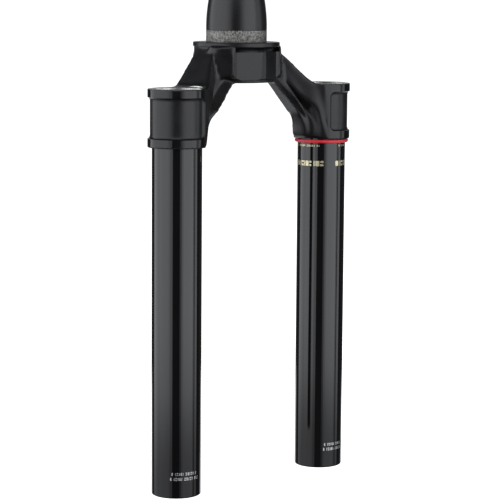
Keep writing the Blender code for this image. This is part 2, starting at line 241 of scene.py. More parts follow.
def traced(name, points):
    """A closed line through the points, drawn by extruding one vertex."""
    points = [Vector(p) for p in points]
    bpy.ops.object.select_all(action="DESELECT")
    bpy.ops.mesh.primitive_plane_add(size=MM, location=(0, 0, 0))
    item = bpy.context.object
    item.name = name
    edit(item)
    bpy.ops.mesh.merge(type="CENTER")
    bpy.ops.transform.translate(value=points[0])
    for here, there in zip(points, points[1:] + points[:1]):
        bpy.ops.mesh.extrude_region_move(TRANSFORM_OT_translate={"value": there - here})
    bpy.ops.mesh.select_all(action="SELECT")
    bpy.ops.mesh.remove_doubles(threshold=SAME_POINT)
    return item


def lathe(name, profile, x=0.0, y=0.0, steps=128):
    """A closed (radius, z) line spun round the upright axis through (x, y)."""
    item = traced(name, [(x + radius, y, z) for radius, z in profile])
    bpy.ops.mesh.select_all(action="SELECT")
    bpy.ops.mesh.spin(steps=steps, angle=math.tau, center=(x, y, 0), axis=(0, 0, 1))
    bpy.ops.mesh.select_all(action="SELECT")
    bpy.ops.mesh.remove_doubles(threshold=SAME_POINT)
    bpy.ops.mesh.normals_make_consistent(inside=False)
    done()
    return item


def plate(name, outline, reach):
    """A flat outline, filled, and extruded along the reach vector."""
    item = traced(name, outline)
    bpy.ops.mesh.select_all(action="SELECT")
    bpy.ops.mesh.edge_face_add()
    bpy.ops.mesh.extrude_region_move(TRANSFORM_OT_translate={"value": Vector(reach)})
    bpy.ops.mesh.select_all(action="SELECT")
    bpy.ops.mesh.normals_make_consistent(inside=False)
    done()
    return item


def boolean(item, operation, other):
    """Join, cut or keep what is common, applied at once. The other piece is used up."""
    modifier = item.modifiers.new(operation.lower(), "BOOLEAN")
    modifier.operation = operation
    modifier.solver = "EXACT"
    modifier.material_mode = "TRANSFER"
    modifier.object = other
    apply_all(item)
    bpy.data.objects.remove(other)


def softened(corners, steps=8):
    """(a, b, radius) corners as a line of points with an arc of that radius at each."""
    line = []
    for i, (a, b, radius) in enumerate(corners):
        here = Vector((a, b))
        if not radius:
            line.append(here)
            continue
        back = (Vector(corners[i - 1][:2]) - here).normalized()
        onward = (Vector(corners[(i + 1) % len(corners)][:2]) - here).normalized()
        half = back.angle(onward) / 2
        centre = here + (back + onward).normalized() * radius / math.sin(half)
        first = here + back * radius / math.tan(half) - centre
        last = here + onward * radius / math.tan(half) - centre
        for k in range(steps + 1):
            line.append(centre + first.lerp(last, k / steps).normalized() * radius)
    return line


print("helpers ready")

# %% [markdown]
# ## Finishes
# All the metal is aluminium under a black anodised film. The film is clear and black at once, so it
# is drawn as a black base with a plain dielectric gloss. What tells the pieces apart is roughness:
# mirror-like on the ground tubes and turned bands, satin on the blasted forging. Fine grain, turning
# lines and faint smears are noise on object coordinates.

# %% Define the node helpers


def finish_named(name, colour, roughness, metallic=0.0, specular=0.5):
    """A material and its shader, with plain values that the noise below then varies."""
    material = bpy.data.materials.new(name)
    material.use_nodes = True
    shader = material.node_tree.nodes["Principled BSDF"]
    shader.inputs["Base Color"].default_value = (*colour, 1)
    shader.inputs["Roughness"].default_value = roughness
    shader.inputs["Metallic"].default_value = metallic
    shader.inputs["Specular IOR Level"].default_value = specular
    return material, shader


def grain(material, scale, stretch=(1, 1, 1), detail=4.0):
    """Noise in object space, scale waves to the metre, squeezed along each axis by stretch."""
    nodes, links = material.node_tree.nodes, material.node_tree.links
    place = nodes.new("ShaderNodeTexCoord")
    squeeze = nodes.new("ShaderNodeMapping")
    squeeze.inputs["Scale"].default_value = stretch
    pattern = nodes.new("ShaderNodeTexNoise")
    pattern.inputs["Scale"].default_value = scale
    pattern.inputs["Detail"].default_value = detail
    links.new(place.outputs["Object"], squeeze.inputs["Vector"])
    links.new(squeeze.outputs["Vector"], pattern.inputs["Vector"])
    return pattern.outputs["Fac"]


def spread(material, source, low, high, target, start=0.3, stop=0.7):
    """Send a 0 to 1 value to a shader socket as a range from low to high."""
    nodes, links = material.node_tree.nodes, material.node_tree.links
    scale = nodes.new("ShaderNodeMapRange")
    scale.inputs["From Min"].default_value = start
    scale.inputs["From Max"].default_value = stop
    scale.inputs["To Min"].default_value = low
    scale.inputs["To Max"].default_value = high
    links.new(source, scale.inputs["Value"])
    links.new(scale.outputs["Result"], target)


def two_tone(material, source, dark, light, target, start=0.35, stop=0.65):
    """Send a 0 to 1 value to a colour socket as a blend of two colours."""
    nodes, links = material.node_tree.nodes, material.node_tree.links
    ramp = nodes.new("ShaderNodeValToRGB")
    ramp.color_ramp.elements[0].position = start
    ramp.color_ramp.elements[0].color = (*dark, 1)
    ramp.color_ramp.elements[1].position = stop
    ramp.color_ramp.elements[1].color = (*light, 1)
    links.new(source, ramp.inputs["Fac"])
    links.new(ramp.outputs["Color"], target)


def relief(material, source, depth, strength, target):
    """Send a 0 to 1 value to a normal socket as a bump of this depth in metres."""
    nodes, links = material.node_tree.nodes, material.node_tree.links
    bump = nodes.new("ShaderNodeBump")
    bump.inputs["Distance"].default_value = depth
    bump.inputs["Strength"].default_value = strength
    links.new(source, bump.inputs["Height"])
    links.new(bump.outputs["Normal"], target)


print("node helpers ready")

# %% [markdown]
# ### Tube and turned bands
# A fork tube is ground and polished before it is anodised. The marks of the grinding run round it,
# so that noise is squeezed along Z, and a second, slow noise varies the gloss like wiped oil.

# %% Mix the polished black
tube_black, shader = finish_named("tube_black", (0.0028, 0.0028, 0.0032), 0.06, specular=0.48)
lines = grain(tube_black, 40, (1, 1, 120), 3)
smears = grain(tube_black, 22, (1, 1, 0.35), 5)
two_tone(tube_black, smears, (0.0022, 0.0022, 0.0026), (0.0040, 0.0040, 0.0044),
         shader.inputs["Base Color"])
spread(tube_black, smears, 0.045, 0.10, shader.inputs["Roughness"])
relief(tube_black, lines, 0.002 * MM, 0.5, shader.inputs["Normal"])

band_black, shader = finish_named("turned_band_black", (0.003, 0.003, 0.0034), 0.1,
                                  specular=0.34)
lines = grain(band_black, 60, (1, 1, 60), 4)
wear = grain(band_black, 90, detail=6)
two_tone(band_black, wear, (0.0026, 0.0026, 0.003), (0.006, 0.006, 0.0064),
         shader.inputs["Base Color"])
spread(band_black, wear, 0.07, 0.15, shader.inputs["Roughness"])
relief(band_black, lines, 0.004 * MM, 0.5, shader.inputs["Normal"])
print("polished blacks mixed")

# %% [markdown]
# ### Blasted forging
# The crown is blasted with fine beads before it is anodised, which leaves grains of a tenth of a
# millimetre and a satin sheen, a little uneven from place to place.

# %% Mix the satin black of the crown and the steerer
crown_black, shader = finish_named("crown_black", (0.006, 0.006, 0.007), 0.3, specular=0.31)
beads = grain(crown_black, 4200, detail=2)
clouds = grain(crown_black, 70, detail=5)
two_tone(crown_black, clouds, (0.0045, 0.0045, 0.005), (0.0085, 0.0085, 0.0095),
         shader.inputs["Base Color"])
spread(crown_black, clouds, 0.26, 0.35, shader.inputs["Roughness"])
relief(crown_black, beads, 0.02 * MM, 0.25, shader.inputs["Normal"])

steerer_black, shader = finish_named("steerer_black", (0.004, 0.004, 0.0046), 0.28,
                                     specular=0.38)
lines = grain(steerer_black, 30, (1, 1, 160), 3)
clouds = grain(steerer_black, 45, (1, 1, 0.3), 5)
two_tone(steerer_black, clouds, (0.0035, 0.0035, 0.004), (0.0065, 0.0065, 0.0072),
         shader.inputs["Base Color"])
spread(steerer_black, clouds, 0.24, 0.32, shader.inputs["Roughness"])
relief(steerer_black, lines, 0.005 * MM, 0.5, shader.inputs["Normal"])
print("satin blacks mixed")

# %% [markdown]
# ### Bare metal, rubber and print
# The bores are turned after anodising and stay bright. The race seat is bare and coarse. The ring
# is moulded rubber, smooth with a little bloom, and the marks are a film of metallic ink.

# %% Mix the bare metals
bore_bright, shader = finish_named("bore_bright", (0.78, 0.78, 0.76), 0.25, metallic=1.0)
lines = grain(bore_bright, 50, (1, 1, 90), 3)
spread(bore_bright, lines, 0.16, 0.34, shader.inputs["Roughness"])
relief(bore_bright, lines, 0.01 * MM, 0.6, shader.inputs["Normal"])

seat_bare, shader = finish_named("seat_bare", (0.5, 0.5, 0.48), 0.42, metallic=1.0)
pits = grain(seat_bare, 900, detail=3)
two_tone(seat_bare, pits, (0.07, 0.07, 0.066), (0.24, 0.24, 0.225), shader.inputs["Base Color"])
spread(seat_bare, pits, 0.6, 0.42, shader.inputs["Roughness"])
relief(seat_bare, pits, 0.15 * MM, 0.6, shader.inputs["Normal"])
print("bare metals mixed")

# %% Mix the rubber and the inks
ring_red, shader = finish_named("ring_red", (0.56, 0.02, 0.035), 0.38)
bloom = grain(ring_red, 260, detail=5)
two_tone(ring_red, bloom, (0.46, 0.014, 0.026), (0.62, 0.028, 0.045), shader.inputs["Base Color"])
spread(ring_red, bloom, 0.32, 0.46, shader.inputs["Roughness"])
relief(ring_red, bloom, 0.01 * MM, 0.3, shader.inputs["Normal"])


def ink(name, dark, light):
    """A metallic ink, speckled between two colours."""
    material, shader = finish_named(name, light, 0.34, metallic=0.7)
    specks = grain(material, 1500, detail=3)
    two_tone(material, specks, dark, light, shader.inputs["Base Color"])
    spread(material, specks, 0.3, 0.45, shader.inputs["Roughness"])
    return material


ink_gold = ink("ink_gold", (0.42, 0.38, 0.24), (0.66, 0.60, 0.42))
ink_silver = ink("ink_silver", (0.30, 0.30, 0.30), (0.50, 0.50, 0.50))
print("rubber and inks mixed")

# %% [markdown]
# ## The crown
# A crown is forged in a die and then machined, and it is modelled in that order. Rough blanks for
# the hub, an arm and a socket are fused and remeshed to one skin, and the skin is relaxed, which
# rounds every corner as a die does. The cutters come afterwards, so that bores, pads and
# recesses stay crisp. Only the rider's left half is made. The other half is its mirror image.

# %% Blank for the hub
FLANGE_R = 28.4 * MM
HUB_RIM_R = 25.0 * MM
HUB_BOTTOM = -26.0 * MM
HUB_BLANK_BORE = 17.5 * MM
BLANK_TOP, BLANK_INSET = -0.8 * MM, 0.7 * MM
forging = lathe("crown_forging", [
    (FLANGE_R - BLANK_INSET, BLANK_TOP),
    (FLANGE_R - BLANK_INSET, -6 * MM),
    (FLANGE_R, -9 * MM),
    (FLANGE_R, -20.6 * MM),
    (HUB_RIM_R, -24.0 * MM),
    (HUB_RIM_R, HUB_BOTTOM),
    (HUB_BLANK_BORE, HUB_BOTTOM),
    (HUB_BLANK_BORE, BLANK_TOP),
])
forging.data.materials.append(crown_black)
print("hub blank", len(forging.data.polygons), "faces")

# %% Blank for the socket
RIM_TOP = TUBE_TOP + 1.5 * MM
SOCKET_IN = TUBE_X - SOCKET_R
SOCKET_BLANK_BORE = 14.5 * MM
socket = lathe("socket", [
    (SOCKET_R, RIM_TOP),
    (SOCKET_R, CROWN_BOTTOM),
    (SOCKET_BLANK_BORE, CROWN_BOTTOM),
    (SOCKET_BLANK_BORE, RIM_TOP),
], TUBE_X, TUBE_Y)
print("socket blank", len(socket.data.polygons), "faces")

# %% Slab of the arm, drawn from the front
ARM_ROOT = 14 * MM
SLAB_TOP, SLAB_FOOT = -1.1 * MM, -20.3 * MM
SLAB_FOOT_END = 28.0 * MM
arm_end_top = RIM_TOP - 0.1 * MM
slab = plate("arm_slab", [(a, 30 * MM, b) for a, b in softened([
    (ARM_ROOT, SLAB_TOP, 0),
    (25.8 * MM, SLAB_TOP, 1 * MM),
    (SOCKET_IN + 2.3 * MM, arm_end_top, 8 * MM),
    (TUBE_X, arm_end_top, 0),
    (TUBE_X, CROWN_BOTTOM, 0),
    (SOCKET_IN + 7.0 * MM, CROWN_BOTTOM, 0),
    (SOCKET_IN + 4.2 * MM, CROWN_BOTTOM + 9.4 * MM, 12 * MM),
    (SOCKET_IN + 0.4 * MM, RIM_TOP - 16.6 * MM, 18 * MM),
    (SLAB_FOOT_END, SLAB_FOOT, 0),
    (ARM_ROOT, SLAB_FOOT, 0),
])], (0, -80 * MM, 0))
print("slab", len(slab.data.polygons), "faces")

# %% [markdown]
# Seen from above, the arm is pinched beside the hub and then sweeps forward to the socket, which it
# meets without a break. The slab keeps only what lies inside that outline. The outline leans back a
# little towards the top, as the wall of a die does, which here is a shear of its upper edge.

# %% Keep the slab inside its outline from above
MEET = math.radians(28.8)
DIE_LEAN, LEAN_FADE = 0.11, 15 * MM
FOOT_SLOPE = 1.3
ARM_FRONT, ARM_BACK = -8 * MM, 14 * MM
meet_dir = Vector((-math.sin(MEET), -math.cos(MEET)))
axis = Vector((TUBE_X, TUBE_Y))
touch = axis + (SOCKET_R + 0.1 * MM) * meet_dir
wing = touch + 11.1 * MM * Vector((-math.cos(MEET), math.sin(MEET)))
plan_line = softened([
    (ARM_ROOT, -12.5 * MM, 0),
    (30.3 * MM, -12.1 * MM, 2.5 * MM),
    (wing.x, wing.y, 14 * MM),
    (touch.x, touch.y, 0),
    (axis.x, axis.y, 0),
    (axis.x + 1.6 * MM, axis.y + SOCKET_R, 0),
    (31 * MM, axis.y + SOCKET_R + 3.1 * MM, 8 * MM),
    (24 * MM, ARM_BACK, 0),
    (ARM_ROOT, ARM_BACK, 0),
], 12)
plan = plate("arm_plan", [(a, b, -70 * MM) for a, b in plan_line], (0, 0, 75 * MM))
for vertex in plan.data.vertices:
    share = max(0.0, min(1.0, (touch.x - vertex.co.x) / LEAN_FADE))
    slab_foot = SLAB_FOOT - FOOT_SLOPE * (vertex.co.x - SLAB_FOOT_END)
    if vertex.co.y < ARM_FRONT:
        vertex.co.y += DIE_LEAN * (vertex.co.z - slab_foot) * share
boolean(slab, "INTERSECT", plan)
print("slab inside its outline", len(slab.data.polygons), "faces")

# %% Hollow the slab's lower rear behind the rib
heel_line = [(20, -19), (30, -20), (46, -36), (58, -42), (72, -42), (72, -70), (20, -70)]
heel = plate("heel", [(x * MM, -8.5 * MM, z * MM) for x, z in heel_line], (0, 40 * MM, 0))
boolean(slab, "DIFFERENCE", heel)
print("slab with its hollow", len(slab.data.polygons), "faces")

# %% Gusset between the nose and the arm
GUSSET_X, GUSSET_Y = 21.2 * MM, -19.7 * MM
GUSSET_TOP, GUSSET_TALL = -2.2 * MM, 20.4 * MM
gusset = plate("gusset", [
    (12 * MM, GUSSET_Y, GUSSET_TOP),
    (GUSSET_X, GUSSET_Y, GUSSET_TOP),
    (30 * MM, -11.6 * MM, GUSSET_TOP),
    (30 * MM, -5 * MM, GUSSET_TOP),
    (12 * MM, -5 * MM, GUSSET_TOP),
], (0, 0, -GUSSET_TALL))
print("gusset", len(gusset.data.polygons), "faces")

# %% [markdown]
# The lower rib runs from the hub's underside to the foot of the socket. It is a web with a deep V
# cut along its front, and its underside is the arch that clears the tyre.

# %% Web and lower rib
ARCH_START, ARCH_SLOPE = 17.9 * MM, 1.056
WEB_TOP, WEB_BACK, WEB_DEEP = -12 * MM, -9.5 * MM, 11.6 * MM
SPINE_IN, WEB_OUT = SOCKET_IN - 3.8 * MM, SOCKET_IN + 6 * MM
arch_top = HUB_BOTTOM + 0.3 * MM
arch_fall = (SPINE_IN - ARCH_START) * ARCH_SLOPE
web_foot = CROWN_BOTTOM + 0.4 * MM
web = plate("web", [(a, WEB_BACK, b) for a, b in softened([
    (ARM_ROOT, WEB_TOP, 0),
    (ARM_ROOT, arch_top, 0),
    (ARCH_START, arch_top, 6 * MM),
    (SPINE_IN, arch_top - arch_fall, 18 * MM),
    (SPINE_IN, CROWN_BOTTOM + 3.5 * MM, 4 * MM),
    (SPINE_IN + 3.1 * MM, web_foot, 0),
    (WEB_OUT, web_foot, 0),
    (WEB_OUT, RIM_TOP - 12 * MM, 0),
    (FLANGE_R, WEB_TOP, 0),
])], (0, -WEB_DEEP, 0))
print("web", len(web.data.polygons), "faces")

# %% Cut the groove in the web
RIB_WIDTH, RIB_RISE = 6.4 * MM, 7.4 * MM
GROOVE_LEAD, GROOVE_REACH, GROOVE_RUN = 26, 37 * MM, 90
along = Vector((0.69, -0.13, -0.71)).normalized()
across = Vector((-along.z, 0, along.x)).normalized()
across = (across - along * across.dot(along)).normalized()
outward = along.cross(across)
groove_start = Vector((20, -11.8, -19.4)) * MM - along * GROOVE_LEAD * MM
groove_line = softened([
    (-GROOVE_LEAD * MM, GROOVE_LEAD * MM * RIB_WIDTH / RIB_RISE, 0),
    (0, 0, 2.5 * MM),
    (GROOVE_REACH, 0, 0),
    (GROOVE_REACH, GROOVE_REACH, 0),
    (-GROOVE_LEAD * MM, GROOVE_REACH, 0),
])
groove = plate("groove", [groove_start + across * a + outward * b for a, b in groove_line],
               along * GROOVE_RUN * MM)
boolean(web, "DIFFERENCE", groove)
print("web with its groove", len(web.data.polygons), "faces")

# %% Fuse the blanks and remesh them to one skin
VOXEL = 0.55 * MM
HALF_CUT = -4 * MM
for blank in (socket, slab, gusset, web):
    boolean(forging, "UNION", blank)
skin = forging.modifiers.new("skin", "REMESH")
skin.mode = "VOXEL"
skin.voxel_size = VOXEL
apply_all(forging)
print("skin", len(forging.data.polygons), "faces")
edit(forging)
bpy.ops.mesh.bisect(plane_co=(HALF_CUT, 0, 0), plane_no=(1, 0, 0), clear_inner=True,
                    use_fill=True)
done()

# %% [markdown]
# Relaxing the skin rounds its corners. A few steps everywhere give the small radius of a die, and
# weighted groups of vertices take many more where the real crown flows: along the ridge and the
# front of the arm, where the arm leaves the hub, and where the rib runs out into the foot of the
# socket.

# %% Relax the skin


def near_line(place, start, end):
    """The distance from a place to the line between two points."""
    run = end - start
    share = max(0.0, min(1.0, (place - start).dot(run) / run.length_squared))
    return (place - start - run * share).length


# name, start, end, full reach, fading reach (all in millimetres), steps
FLOWS = [
    ("ridge", (32, -14, -8), (47.2, -22.5, -27), 1.5, 3.0, 40),
    ("shoulder", (29, -11, -5), (29, 7, -5.5), 2.5, 3.0, 60),
    ("gusset_top", (22, -18, -4), (30, -11, -4), 1.5, 2.5, 60),
    ("gusset_foot", (21, -19, -22.6), (30, -12, -23), 1.5, 3.0, 80),
    ("fascia", (39, -19.5, -22), (52, -29, -44), 3.5, 5.0, 120),
    ("foot_front", (46, -24, -46), (50, -28, -62), 3.0, 4.0, 200),
    ("foot", (43, -17, -47), (46.5, -20, -63), 5.0, 4.0, 250),
]


def relax(item, steps, group=""):
    """Smooth a mesh by many small steps, in one vertex group if it is named."""
    modifier = item.modifiers.new("relax", "SMOOTH")
    modifier.factor = 0.5
    modifier.iterations = steps
    modifier.vertex_group = group
    apply_all(item)


EVEN_STEPS = 7
relax(forging, EVEN_STEPS)
for name, start, end, reach, fade, steps in FLOWS:
    group = forging.vertex_groups.new(name=name)
    start, end = Vector(start) * MM, Vector(end) * MM
    for vertex in forging.data.vertices:
        gap = near_line(vertex.co, start, end) / MM - reach
        if gap < fade:
            group.add([vertex.index], min(1.0, 1 - gap / fade), "REPLACE")
    relax(forging, steps, name)
print("relaxed", len(FLOWS), "places")

# %% [markdown]
# ### Machining
# The cutters are solids too. Two flats and a narrow facet between them form the nose, and a
# round-nosed ring leaves the cove under the flange. The recess round the socket is a sheet that
# dips where the recess is and rises outside it, thickened outwards to a solid.

# %% Turn the flange
FLANGE_H, FLANGE_EDGE = 2.9 * MM, 0.35 * MM
flange = lathe("flange", [
    (FLANGE_R - FLANGE_EDGE, 0),
    (FLANGE_R, -FLANGE_EDGE),
    (FLANGE_R, -2.6 * MM),
    (FLANGE_R - 0.3 * MM, -FLANGE_H),
    (HUB_BLANK_BORE, -FLANGE_H),
    (HUB_BLANK_BORE, 0),
])
flange.data.materials.append(crown_black)
boolean(forging, "UNION", flange)
print("flange turned", len(forging.data.polygons), "faces")

# %% Cut the nose
PAD_DISTANCE, PAD_ANGLE = 24.6 * MM, math.radians(23)
NOSE_HALF, PAD_HALF = 2.3 * MM, 17.6 * MM
PAD_TOP = 6.2 * MM
NOSE_IN, NOSE_OUT, NOSE_FRONT = -9 * MM, 21.6 * MM, -40 * MM
NECK_R, NECK_FOOT, NECK_OUT = 24.3 * MM, 0.6 * MM, 34 * MM
NECK_BACK, NECK_SIDE = -16 * MM, 19.2 * MM
tip = PAD_DISTANCE / math.cos(PAD_ANGLE)
nose_y = NOSE_HALF * math.tan(PAD_ANGLE) - tip
edge_y = PAD_HALF * math.tan(PAD_ANGLE) - tip
nose = plate("nose", [
    (NOSE_IN, nose_y, -PAD_TOP),
    (NOSE_HALF, nose_y, -PAD_TOP),
    (PAD_HALF, edge_y, -PAD_TOP),
    (GUSSET_X, GUSSET_Y, -PAD_TOP),
    (NOSE_OUT, NOSE_FRONT, -PAD_TOP),
    (NOSE_IN, NOSE_FRONT, -PAD_TOP),
], (0, 0, PAD_TOP + HUB_BOTTOM + 2 * MM))
cove = PAD_TOP - FLANGE_H
neck = lathe("neck", [(NECK_OUT, -FLANGE_H), (NECK_OUT, -PAD_TOP - 0.02 * MM)] + [
    (NECK_R + (cove + NECK_FOOT) * (1 - math.cos(a)), -PAD_TOP + cove * math.sin(a))
    for a in [math.radians(10 * k) for k in range(10)]
])
front = plate("front", [
    (NOSE_IN, NECK_BACK, 0),
    (NECK_SIDE, NECK_BACK, 0),
    (NOSE_OUT, NOSE_FRONT, 0),
    (NOSE_IN, NOSE_FRONT, 0),
], (0, 0, -9 * MM))
boolean(neck, "INTERSECT", front)
boolean(nose, "UNION", neck)
nose.data.materials.append(crown_black)
boolean(forging, "DIFFERENCE", nose)
print("nose cut", len(forging.data.polygons), "faces")

# %% Cut the recess round the socket
RECESS_FRONT, RECESS_BACK = math.radians(-27.8), math.radians(172)
RECESS_TOP, RECESS_LOW = RIM_TOP - 5.3 * MM, CROWN_BOTTOM + 5.6 * MM
RECESS_R, COVE_REACH, CORNER = 17.2 * MM, 2.6 * MM, 3.6 * MM
STAND, SHEET_THICK = 1.2 * MM, 5 * MM


def recess_radius(angle, z):
    """How far the recess's sheet stands from the tube's axis at this angle and height."""
    half_wide = (RECESS_BACK - RECESS_FRONT) / 2 * SOCKET_R
    half_tall = (RECESS_TOP - RECESS_LOW) / 2
    a = abs(angle - (RECESS_BACK + RECESS_FRONT) / 2) * SOCKET_R - half_wide + CORNER
    b = abs(z - (RECESS_TOP + RECESS_LOW) / 2) - half_tall + CORNER
    inside = CORNER - Vector((max(a, 0), max(b, 0))).length
    if a < 0 and b < 0:
        inside = min(-a, -b) + CORNER
    if inside < 0:
        return SOCKET_R - inside
    dip = 1 - min(1.0, inside / COVE_REACH)
    return SOCKET_R - (SOCKET_R - RECESS_R) * math.sqrt(1 - dip * dip)


bpy.ops.object.select_all(action="DESELECT")
bpy.ops.mesh.primitive_grid_add(x_subdivisions=170, y_subdivisions=76, size=2)
recess = bpy.context.object
recess.name = "recess"
middle = (RECESS_BACK + RECESS_FRONT) / 2
half = (RECESS_BACK - RECESS_FRONT) / 2 + STAND / SOCKET_R
for vertex in recess.data.vertices:
    angle = middle + vertex.co.x * half
    z = (RECESS_TOP + RECESS_LOW) / 2 + vertex.co.y * ((RECESS_TOP - RECESS_LOW) / 2 + STAND)
    radius = recess_radius(angle, z)
    vertex.co = (TUBE_X + radius * math.sin(angle), TUBE_Y - radius * math.cos(angle), z)
wall = recess.modifiers.new("wall", "SOLIDIFY")
wall.thickness = SHEET_THICK
wall.offset = 1
apply_all(recess)
edit(recess)
bpy.ops.mesh.normals_make_consistent(inside=False)
done()
recess.data.materials.append(crown_black)
boolean(forging, "DIFFERENCE", recess)
print("recess cut", len(forging.data.polygons), "faces")

# %% Cut the bores


def bore(name, radius, top, bottom, chamfer, x=0.0, y=0.0):
    """A cutter for a round bore with a chamfer at both ends, which goes on a little past them."""
    far, past, core = 6 * MM, 0.4 * MM, 0.4 * MM
    item = lathe(name, [
        (radius + chamfer + past, top + far),
        (radius + chamfer + past, top + past),
        (radius, top - chamfer),
        (radius, bottom + chamfer),
        (radius + chamfer + past, bottom - past),
        (radius + chamfer + past, bottom - far),
        (core, bottom - far),
        (core, top + far),
    ], x, y)
    item.data.materials.append(bore_bright)
    return item


boolean(forging, "DIFFERENCE", bore("hub_bore", SEAT_R + 0.08 * MM, 0, HUB_BOTTOM, 0.3 * MM))
boolean(forging, "DIFFERENCE", bore("tube_bore", TUBE_R + 0.05 * MM, RIM_TOP, CROWN_BOTTOM,
                                    0.35 * MM, TUBE_X, TUBE_Y))
print("bores cut", len(forging.data.polygons), "faces")

# %% Mirror the half and give each face its finish
flip = forging.modifiers.new("other_half", "MIRROR")
flip.use_axis = (True, False, False)
flip.use_bisect_axis = (True, False, False)
flip.merge_threshold = 0.02 * MM
apply_all(forging)
edit(forging)
bpy.ops.mesh.remove_doubles(threshold=0.002 * MM)
bpy.ops.mesh.normals_make_consistent(inside=False)
done()


def is_turned(place, normal):
    """Whether a lathe tool has passed over a crown face here. The others stay as blasted."""
    side = Vector((abs(place.x) - TUBE_X, place.y - TUBE_Y))
    facing = Vector((math.copysign(normal.x, normal.x * place.x), normal.y))
    on_socket = abs(side.length - SOCKET_R) < 0.15 * MM and facing.dot(side.normalized()) > 0.99
    on_socket = on_socket and side.x > math.sin(RECESS_FRONT) * SOCKET_R
    on_rim = normal.z > 0.9 and side.length < SOCKET_R
    return on_socket or on_rim


forging.data.materials.append(band_black)
names = [material.name for material in forging.data.materials]
print("crown finishes", names)
turned_index, bore_index = names.index(band_black.name), names.index(bore_bright.name)
for face in forging.data.polygons:
    if face.material_index != bore_index and is_turned(face.center, face.normal):
        face.material_index = turned_index


def show(piece, body, slot, *stands_for, angle=30):
    """Shade a finished piece and hang it on its CAD body."""
    select_only(piece)
    bpy.ops.object.shade_smooth_by_angle(angle=math.radians(angle))
    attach(piece, body)
    if stands_for:
        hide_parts(*stands_for)
    print(piece.name, len(piece.data.polygons), "faces")


show(forging, UNIT, "crown_anodised", "crown")

# %% [markdown]
# ## The steerer
# A steerer is one tube, swaged wide at its base for the large lower bearing. It is turned, so its
# outline is spun. The taper follows half a cosine wave, which has no corner at either end.

# %% Spin the steerer
STEERER_TOP, STEERER_BASE = steerer_high.z, steerer_low.z
SEAT_HEIGHT = 7.6 * MM
STEERER_R, STEERER_BORE = 14.3 * MM, 12.1 * MM
BASE_BORE = SEAT_R - 3.6 * MM
TAPER_START, TAPER_LENGTH, TAPER_STEPS = 9.6 * MM, 51 * MM, 24
KNURL_BED = SEAT_R - 0.35 * MM
taper = [
    (STEERER_R + (SEAT_R - STEERER_R) * (1 + math.cos(math.pi * k / TAPER_STEPS)) / 2,
     TAPER_START + TAPER_LENGTH * k / TAPER_STEPS)
    for k in range(TAPER_STEPS, -1, -1)
]
steerer = lathe("steerer_tube_turned", [
    (STEERER_R - 0.6 * MM, STEERER_TOP),
    (STEERER_R, STEERER_TOP - 0.6 * MM),
    *taper,
    (SEAT_R, SEAT_HEIGHT + 0.15 * MM),
    (SEAT_R - 0.15 * MM, SEAT_HEIGHT),
    (KNURL_BED, SEAT_HEIGHT),
    (KNURL_BED, 0.1 * MM),
    (SEAT_R, 0.1 * MM),
    (SEAT_R, STEERER_BASE + 0.8 * MM),
    (SEAT_R - 0.8 * MM, STEERER_BASE),
    (BASE_BORE + 0.5 * MM, STEERER_BASE),
    (BASE_BORE, STEERER_BASE + 0.5 * MM),
    (BASE_BORE, TAPER_START),
    (STEERER_BORE, TAPER_START + TAPER_LENGTH + 12 * MM),
    (STEERER_BORE, STEERER_TOP - 0.5 * MM),
    (STEERER_BORE + 0.5 * MM, STEERER_TOP),
])
steerer.data.materials.append(steerer_black)
steerer.data.materials.append(bore_bright)
for face in steerer.data.polygons:
    out = Vector((face.center.x, face.center.y, 0))
    inside = face.normal.dot(out) < 0 and out.length < SEAT_R - 2 * MM
    face.material_index = 1 if inside or abs(face.normal.z) > 0.9 else 0
show(steerer, UNIT, "steerer_anodised", "steerer_tube")

# %% [markdown]
# The crown race is pressed on the foot of the steerer, so that band is left bare and knurled, with
# fine diamond points that bite. The points are real: the band is spun with six faces to each
# diamond, and each vertex is then pushed in by its distance from the nearest point.

# %% Knurl the race seat
DIAMONDS, KNURL_DEPTH, ROWS = 108, 0.24 * MM, 44
FACES_EACH, STRETCH, SHARPNESS = 6, 1.15, 1.3
BAND_EDGE = 0.25 * MM
knurl_rows = [
    (SEAT_R, BAND_EDGE + (SEAT_HEIGHT - 2 * BAND_EDGE) * k / ROWS)
    for k in range(ROWS + 1)
]
seat = lathe("race_seat_knurl", [
    (KNURL_BED - 0.3 * MM, 0.02 * MM),
    (SEAT_R - BAND_EDGE, 0.02 * MM),
    *knurl_rows,
    (SEAT_R - BAND_EDGE, SEAT_HEIGHT),
    (KNURL_BED - 0.3 * MM, SEAT_HEIGHT),
], steps=DIAMONDS * FACES_EACH)
pitch = math.tau * SEAT_R / DIAMONDS


def zigzag(turns):
    """Falls from 1 to 0 and rises back to 1 within each turn."""
    return abs(2 * (turns % 1) - 1)


for vertex in seat.data.vertices:
    spot = vertex.co
    out = Vector((spot.x, spot.y))
    if out.length < SEAT_R - 0.05 * MM:
        continue
    around = math.atan2(spot.y, spot.x) / math.tau * DIAMONDS
    upward = spot.z / (pitch * STRETCH)
    point = min(zigzag(around + upward), zigzag(around - upward))
    out = out.normalized() * (SEAT_R - KNURL_DEPTH * (1 - point) ** SHARPNESS)
    vertex.co = (out.x, out.y, spot.z)
seat.data.materials.append(seat_bare)
show(seat, UNIT, "steerer_anodised", angle=40)

# %% [markdown]
# ## The upper tubes
# Both tubes are the same length of drawn aluminium. Inside, the top is threaded for its cap and the
# foot has a groove for a circlip. The lower edge is rolled, so that it doesn't cut the seals.

